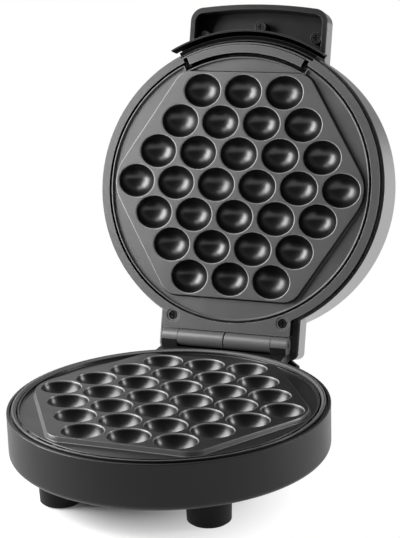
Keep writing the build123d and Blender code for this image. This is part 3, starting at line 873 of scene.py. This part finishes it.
    def cup(self) -> bpy.types.Object:
        """Build one cup: a flat margin, a rounded rim and the wall down to a pole.

        Returns:
            The cup, about its own centre.
        """
        shape = bmesh.new()
        rim = self.cup_rim_round
        rings = [self.cup_outline(rim + self.support, 0)]
        rings += [self.cup_outline(rim * (1 - sine), rim * fall)
                  for sine, fall in self.quarter()]
        start = math.asin((self.cup_centre_rise + rim) / self.cup_half_width)
        for step in range(1, self.cup_rows):
            turn = start + (math.pi / 2 - start) * step / self.cup_rows
            depth = self.cup_half_width * math.sin(turn) - self.cup_centre_rise
            rings.append(self.cup_outline(0, depth))
        self.strip(shape, rings)
        shape.verts.ensure_lookup_table()
        last = shape.verts[-self.cup_sides:]
        pole = shape.verts.new((0, 0, self.cup_centre_rise - self.cup_half_width))
        for index in range(self.cup_sides):
            shape.faces.new((last[index], last[(index + 1) % self.cup_sides], pole))
        mesh = bpy.data.meshes.new("one_cup")
        shape.normal_update()
        layer = shape.verts.layers.float.new("cup_mask")
        full_depth = 2 * rim
        for vert in shape.verts:
            vert[layer] = min(1.0, max(0.0, -vert.co.z / full_depth))
        shape.to_mesh(mesh)
        shape.free()
        return new_object("one_cup", mesh)

    def cup_field(self) -> bpy.types.Mesh:
        """Repeat the cup over its rows with Geometry Nodes.

        Returns:
            All cups as one plain mesh.
        """
        cup = self.cup()
        points = bpy.data.meshes.new("cup_points")
        points.from_pydata([(x, y, 0) for x, y in self.cup_centres()], [], [])
        holder = new_object("cup_points", points)
        tree = cup_field_tree()
        modifier = holder.modifiers.new("cup_field", "NODES")
        modifier.node_group = tree
        sockets = {item.name: item.identifier for item in tree.interface.items_tree
                   if item.in_out == "INPUT"}
        modifier[sockets["Cup"]] = cup
        modifier[sockets["Finish"]] = self.finish.material()
        mesh = plain_mesh(holder)
        for spare in (holder, cup):
            bpy.data.objects.remove(spare)
        return mesh

    def land_edge(self, shape: BMesh) -> tuple[Ring, Ring]:
        """Build the rounded edge and drafted side of the land.

        Args:
            shape: The mesh that gets the faces.

        Returns:
            The outline where the flat land ends, and the one where the flat moat starts.
        """
        edge, foot = self.land_edge_round, self.inner_round
        # painted shade on the land's sides, with a painted highlight where the mask starts to rise
        rings, shares = [self.land_line(-edge - self.support, 0)], [0.0]
        for sine, fall in self.quarter():
            rings.append(self.land_line(edge * (sine - 1), -edge * fall))
            shares.append(self.side_painted_light * (fall > self.side_light_from))
        draft, moat = self.land_draft, -self.moat_depth
        for sine, fall in reversed(self.quarter()):
            rings.append(self.land_line(draft + foot * (1 - sine), moat + foot * fall))
            shares.append(self.side_painted_light)
        rings.append(self.land_line(draft + foot + self.support, moat))
        self.strip(shape, rings, [*shares, 0.0], flip=True)
        return rings[0], rings[-1]

    def rim(self, shape: BMesh) -> tuple[Ring, Ring]:
        """Build the rim bead and the plate's outer wall.

        Args:
            shape: The mesh that gets the faces.

        Returns:
            The line where the flat moat ends, and the lower edge of the wall.
        """
        foot, top, width = self.inner_round, self.bead_round, self.bead_width
        rings = [self.rim_line(width + foot + self.support, -self.moat_depth)]
        rings += [self.rim_line(width + foot * (1 - sine), -self.moat_depth + foot * fall)
                  for sine, fall in self.quarter()]
        for sine, fall in reversed(self.quarter()):
            rings.append(self.rim_line(width - top * (1 - sine), -self.bead_drop - top * fall))
        rings += [self.rim_line(top * (1 - sine), -self.bead_drop - top * fall)
                  for sine, fall in self.quarter()]
        rings.append(self.rim_line(0, -self.plate_back))
        # painted shade: the plate's outer wall fades to the cups' dark colour, with a painted
        # highlight near the bead
        self.strip(shape, rings, [0.0] * (len(rings) - 1) + [1.0], flip=True)
        return rings[0], rings[-1]

    def build(self) -> bpy.types.Object:
        """Build the whole plate as one closed mesh.

        Returns:
            The plate, riding on its body in place of the node.
        """
        shape = bmesh.new()
        shape.verts.layers.float.new("cup_mask")
        land_end, moat_start = self.land_edge(shape)
        moat_end, wall_end = self.rim(shape)
        margin = self.cup_outline(self.cup_rim_round + self.support, 0)
        holes = [[point + Vector((x, y, 0)) for point in margin] for x, y in self.cup_centres()]
        self.flat(shape, land_end, holes, 0, up=True)
        self.flat(shape, moat_end, [moat_start], -self.moat_depth, up=True)
        slab = [self.land_line(0, -level) for level in (self.plate_back, self.slab_back)]
        self.flat(shape, wall_end, [slab[0]], -self.plate_back, up=False)
        self.strip(shape, slab, flip=True)
        self.flat(shape, slab[1], [], -self.slab_back, up=False)
        shape.from_mesh(self.cup_field())
        bmesh.ops.remove_doubles(shape, verts=shape.verts, dist=WELD)
        for face in shape.faces:
            face.smooth = True
        mesh = bpy.data.meshes.new(self.name)
        shape.to_mesh(mesh)
        shape.free()
        mesh.set_sharp_from_angle(angle=self.crease)
        mesh.transform(self.place)
        mesh.update()
        piece = new_object(self.name, mesh)
        finish_piece(piece, self.finish, self.body, [self.node])
        return piece


def cup_field_tree() -> bpy.types.NodeTree:
    """Build the Geometry Nodes tree that puts one cup on every point, once.

    Returns:
        The tree.
    """
    known = bpy.data.node_groups.get("cup_field")
    if known:
        return known
    tree = bpy.data.node_groups.new("cup_field", "GeometryNodeTree")
    for name, way, kind in (("Geometry", "INPUT", "Geometry"), ("Cup", "INPUT", "Object"),
                            ("Finish", "INPUT", "Material"), ("Geometry", "OUTPUT", "Geometry")):
        tree.interface.new_socket(name, in_out=way, socket_type=f"NodeSocket{kind}")
    sketch = NodeSketch(tree)
    given = sketch.node("NodeGroupInput")
    result = sketch.node("NodeGroupOutput")
    cup = sketch.node("GeometryNodeObjectInfo", transform_space="ORIGINAL")
    scatter = sketch.node("GeometryNodeInstanceOnPoints")
    real = sketch.node("GeometryNodeRealizeInstances")
    paint = sketch.node("GeometryNodeSetMaterial")
    sketch.link(given.outputs["Cup"], cup.inputs["Object"])
    sketch.link(given.outputs["Geometry"], scatter.inputs["Points"])
    sketch.link(cup.outputs["Geometry"], scatter.inputs["Instance"])
    sketch.link(scatter.outputs["Instances"], real.inputs["Geometry"])
    sketch.link(real.outputs["Geometry"], paint.inputs["Geometry"])
    sketch.link(given.outputs["Finish"], paint.inputs["Material"])
    sketch.link(paint.outputs["Geometry"], result.inputs["Geometry"])
    return tree


def lid_hinge() -> dict:
    """Return the frame's record of the lid's joint."""
    return next(joint for joint in frame["joints"] if joint["name"] == "lid_hinge")


def hinge_axis() -> Vector:
    """Return a point on the hinge's axis, which runs along X."""
    return Vector(lid_hinge()["pos_m"])


def on_knuckle(place: Vector) -> bool:
    """Tell whether a place is on one of the hinge's knuckles."""
    axis = hinge_axis()
    return math.hypot(place.y - axis.y, place.z - axis.z) < KNUCKLE_REACH


def plate_centre() -> Vector:
    """Return the middle of the lower plate, on its land."""
    low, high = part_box("base_cooking_plate")
    return Vector(((low.x + high.x) / 2, (low.y + high.y) / 2, high.z))


def open_lid_place() -> Matrix:
    """Work out where the open lid carries its plate, from the frame's hinge.

    Returns:
        The placing of a plate that is modelled face up.
    """
    axis = hinge_axis()
    swing = Matrix.Rotation(-math.radians(lid_hinge()["range_deg"][1]), 4, "X")
    closed = Matrix.Translation(plate_centre() + Vector((0, 0, CLOSING_GAP)))
    over = Matrix.Rotation(math.pi, 4, "Y")
    return Matrix.Translation(axis) @ swing @ Matrix.Translation(-axis) @ closed @ over


# Sub-assemblies


@dataclass
class Base:
    """Drum with its hinge tower, trim ring, lower plate and feet."""

    corners: tuple[str, ...] = ("front_left", "front_right", "rear_left", "rear_right")
    slope_reach: float = 100.9 * MM
    middle: Vector = field(default_factory=plate_centre)

    def build(self) -> None:
        """Build the base's pieces."""
        # the lower plate's land sides get a painted highlight
        CookingPlate("base_cooking_plate", "lower_cooking_plate", Body.BASE,
                     Matrix.Translation(self.middle), Finishes.shaded_coating,
                     side_painted_light=0.06).build()
        SmoothedPiece("base_housing", "drum_and_tower", Finishes.housing, Body.BASE, Slot.HOUSING,
                      Finishes.black_edge_highlight, ((Finishes.knuckle, on_knuckle),)).build()
        SmoothedPiece("base_trim_ring", "lower_trim_ring", Finishes.trim, Body.BASE, Slot.TRIM,
                      Finishes.black_edge_highlight, ((Finishes.slope, self.on_slope),)).build()
        for corner in self.corners:
            SmoothedPiece(f"{corner}_foot", f"{corner}_foot_post", Finishes.foot, Body.BASE,
                          Slot.HOUSING).build()
            SmoothedPiece(f"{corner}_foot_pad", f"{corner}_rubber_pad", Finishes.rubber, Body.BASE,
                          Slot.RUBBER).build()

    def on_slope(self, place: Vector) -> bool:
        """Tell whether a place is on the ring's inner slope, which gets a paler grey as a painted
        highlight.
        """
        return math.hypot(place.x - self.middle.x, place.y - self.middle.y) < self.slope_reach


@dataclass
class Lid:
    """Metal cover, lid frame, upper plate and handle."""

    groove_inner: float = 90.0 * MM
    groove_outer: float = 113.0 * MM
    groove_level: float = -1.5 * MM
    place: Matrix = field(default_factory=open_lid_place)

    def build(self) -> None:
        """Build the lid's pieces."""
        # the upper plate's land sides get painted shade, with a painted highlight at their top
        # edge
        CookingPlate("lid_cooking_plate", "upper_cooking_plate", Body.LID, self.place,
                     Finishes.coating, step_depth=4.7 * MM, rim_play=1.1 * MM,
                     side_painted_light=1.0).build()
        SmoothedPiece("lid_shell", "silver_cover", Finishes.shell, Body.LID, Slot.SHELL).build()
        SmoothedPiece("lid_frame", "lid_carrier_ring", Finishes.frame, Body.LID, Slot.HOUSING,
                      Finishes.grey_edge_highlight, ((Finishes.groove, self.in_groove),
                                             (Finishes.knuckle, on_knuckle))).build()
        SmoothedPiece("handle_grip", "scooped_grip", Finishes.grip, Body.LID, Slot.HOUSING,
                      Finishes.black_edge_highlight).build()
        SmoothedPiece("handle_apron", "curved_grip_bar", Finishes.bar, Body.LID, Slot.HOUSING,
                      Finishes.black_edge_highlight, ((Finishes.groove, self.in_groove),)).build()

    def in_groove(self, place: Vector) -> bool:
        """Tell whether a place is deep in a groove, round the plate or behind the grip bar.

        Args:
            place: The place.

        Returns:
            True where it is.
        """
        local = self.place.inverted() @ place
        radius = math.hypot(local.x, local.y)
        return self.groove_inner < radius < self.groove_outer and local.z < self.groove_level


@dataclass
class KeptNodes:
    """CAD nodes that stay as they are, with their finishes."""

    finishes: dict[str, Finish] = field(default_factory=lambda: {
        "base_heating_element": Finishes.tube, "lid_heating_element": Finishes.tube,
        "base_element_clamps": Finishes.steel, "lid_element_clamps": Finishes.steel,
        "base_element_beads": Finishes.ceramic, "lid_element_beads": Finishes.ceramic,
        "base_heat_reflector": Finishes.sheet, "lid_heat_reflector": Finishes.sheet,
        "base_thermal_fuse": Finishes.ceramic, "lid_thermostat": Finishes.brown,
        "base_screws": Finishes.steel, "lid_plate_screws": Finishes.steel,
        "lid_hinge_screws": Finishes.dark_screw, "handle_screws": Finishes.dark_screw,
        "lid_hinge_bracket": Finishes.steel, "hinge_pin": Finishes.steel,
        "terminal_block": Finishes.nylon, "lamp_holder": Finishes.nylon,
        "cord_inlet_bush": Finishes.rubber,
        "power_lens": Finishes.red_lens, "ready_lens": Finishes.green_lens})

    def dress(self) -> None:
        """Give each node its material."""
        for name, finish in self.finishes.items():
            node = frame["nodes"][name]
            node.data.materials.clear()
            node.data.materials.append(finish.material())
            LOG.info("%s keeps its shape, in %s", name, finish.name)


# Studio


@dataclass(frozen=True)
class Softbox:
    """One rectangular lamp that faces a point of the object."""

    name: str
    position: Triple
    size: Pair
    power: float
    target: Triple = (0.0, 0.05, 0.15)

    def build(self) -> None:
        """Add the lamp."""
        lamp = bpy.data.lights.new(self.name, "AREA")
        lamp.shape = "RECTANGLE"
        lamp.size, lamp.size_y = self.size
        lamp.energy = self.power
        lamp.color = WHITE
        made = bpy.data.objects.new(self.name, lamp)
        made.location = self.position
        made.rotation_mode = "QUATERNION"
        way = Vector(self.target) - Vector(self.position)
        made.rotation_quaternion = way.to_track_quat("-Z", "Y")
        made.visible_camera = False
        bpy.context.scene.collection.objects.link(made)


@dataclass
class Studio:
    """White surroundings, floor, three softboxes and the photograph's camera."""

    lamps: tuple[Softbox, ...] = (
        Softbox("left_softbox", (-0.58, -0.22, 0.36), (0.5, 0.7), 14.8),
        Softbox("right_softbox", (0.9, 0.2, 0.22), (0.22, 0.5), 7.5),
        Softbox("top_softbox", (-0.45, -0.35, 1.1), (0.5, 0.5), 2.5))
    world_light: float = 0.1
    front_light: float = 0.14
    front_half: float = 0.5
    horizon_light: float = 0.2
    horizon_height: float = 0.4
    shadow_middle: Triple = (-0.02, -0.095, 0.0)
    shadow_start: float = 0.03
    shadow_end: float = 0.11
    floor_half: float = 3.0
    floor_grey: float = 0.95
    floor_roughness: float = 0.9
    camera_place: Triple = (0.3465, -0.8504, 0.3441)
    camera_azimuth: float = math.radians(20.74)
    camera_elevation: float = math.radians(15.67)
    camera_roll: float = math.radians(-1.72)
    focal_pixels: float = 1498.6
    picture_height: float = 538.0
    sensor: float = 36.0
    clip: Pair = (0.05, 20.0)

    @staticmethod
    def seen_directly(sketch: NodeSketch, path: Node) -> Socket:
        """Mark the camera's rays, also those through clear plastic.

        Args:
            sketch: The tree that gets the node.
            path: Its Light Path node.

        Returns:
            1 for such a ray, 0 for the others.
        """
        rays = path.outputs["Is Camera Ray"], path.outputs["Is Transmission Ray"]
        return sketch.maths("MAXIMUM", *rays)

    def world(self) -> None:
        """White to the camera; reflections see it dimmer in front and at the horizon."""
        world = bpy.data.worlds.new("white_studio")
        bpy.context.scene.world = world
        world.use_nodes = True
        sketch = NodeSketch(world.node_tree)
        light = world.node_tree.nodes["Background"]
        path = sketch.node("ShaderNodeLightPath")
        way = sketch.node("ShaderNodeSeparateXYZ")
        sketch.link(sketch.node("ShaderNodeTexCoord").outputs["Generated"], way.inputs["Vector"])
        half = self.front_half
        mirrored = sketch.spread(way.outputs["Y"], -half, half, self.front_light, 1.0)
        height = sketch.maths("ABSOLUTE", way.outputs["Z"])
        band = sketch.spread(height, 0.0, self.horizon_height, self.horizon_light, 1.0)
        mirrored = sketch.maths("MULTIPLY", mirrored, band)
        mirrored = sketch.maths("MULTIPLY", mirrored, path.outputs["Is Glossy Ray"])
        seen = sketch.maths("MAXIMUM", self.seen_directly(sketch, path), mirrored)
        diffuse = sketch.maths("MULTIPLY", path.outputs["Is Diffuse Ray"], self.world_light)
        sketch.link(sketch.maths("MAXIMUM", seen, diffuse), light.inputs["Strength"])
        light.inputs["Color"].default_value = (*WHITE, 1.0)

    def floor(self) -> None:
        """A white floor that keeps the shadow near the object and fades into the white."""
        mesh = bpy.data.meshes.new("studio_floor")
        half = self.floor_half
        corners = [(-half, -half, 0), (half, -half, 0), (half, half, 0), (-half, half, 0)]
        mesh.from_pydata(corners, [], [(0, 1, 2, 3)])
        floor = new_object("studio_floor", mesh)
        material = bpy.data.materials.new("white_sweep")
        material.use_nodes = True
        sketch = NodeSketch(material.node_tree)
        shader = material.node_tree.nodes["Principled BSDF"]
        shader.inputs["Base Color"].default_value = (*grey(self.floor_grey), 1.0)
        shader.inputs["Roughness"].default_value = self.floor_roughness
        shader.inputs["Specular IOR Level"].default_value = 0.0
        glow = sketch.node("ShaderNodeEmission")
        away = sketch.node("ShaderNodeVectorMath", operation="DISTANCE")
        sketch.link(sketch.surface_place(), away.inputs[0])
        away.inputs[1].default_value = self.shadow_middle
        path = sketch.node("ShaderNodeLightPath")
        seen = self.seen_directly(sketch, path)
        seen = sketch.maths("MAXIMUM", seen, path.outputs["Is Glossy Ray"])
        fade = sketch.spread(away.outputs["Value"], self.shadow_start, self.shadow_end)
        mix = sketch.node("ShaderNodeMixShader")
        sketch.link(sketch.maths("MULTIPLY", seen, fade), mix.inputs["Fac"])
        sketch.link(shader.outputs["BSDF"], mix.inputs[1])
        sketch.link(glow.outputs["Emission"], mix.inputs[2])
        surface = material.node_tree.nodes["Material Output"].inputs["Surface"]
        sketch.link(mix.outputs["Shader"], surface)
        mesh.materials.append(material)

    def camera(self) -> None:
        """Place the camera where the photograph was taken from."""
        turn, rise, roll = self.camera_azimuth, self.camera_elevation, self.camera_roll
        back = Vector((math.sin(turn) * math.cos(rise), -math.cos(turn) * math.cos(rise),
                       math.sin(rise)))
        level = Vector((math.cos(turn), math.sin(turn), 0.0))
        upward = back.cross(level)
        right = math.cos(roll) * level + math.sin(roll) * upward
        top = math.cos(roll) * upward - math.sin(roll) * level
        data = bpy.data.cameras.new("photograph_camera")
        data.sensor_fit = "AUTO"
        data.sensor_width = self.sensor
        data.lens = self.focal_pixels * self.sensor / self.picture_height
        data.clip_start, data.clip_end = self.clip
        camera = bpy.data.objects.new("photograph_camera", data)
        turned = Matrix((right, top, back)).transposed().to_4x4()
        place = Matrix.Translation(plate_centre() + Vector(self.camera_place))
        camera.matrix_world = place @ turned
        bpy.context.scene.collection.objects.link(camera)
        bpy.context.scene.camera = camera

    def build(self) -> None:
        """Set up everything around the object."""
        bpy.context.scene.view_settings.view_transform = "Standard"
        self.world()
        self.floor()
        for lamp in self.lamps:
            lamp.build()
        self.camera()


def main() -> None:
    """Build the appliance, its finishes and the studio."""
    logging.basicConfig(level=logging.INFO, format="%(name)s: %(message)s")
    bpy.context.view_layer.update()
    KeptNodes().dress()
    Base().build()
    Lid().build()
    Studio().build()
    bpy.context.view_layer.update()


if __name__ == "__main__":
    main()
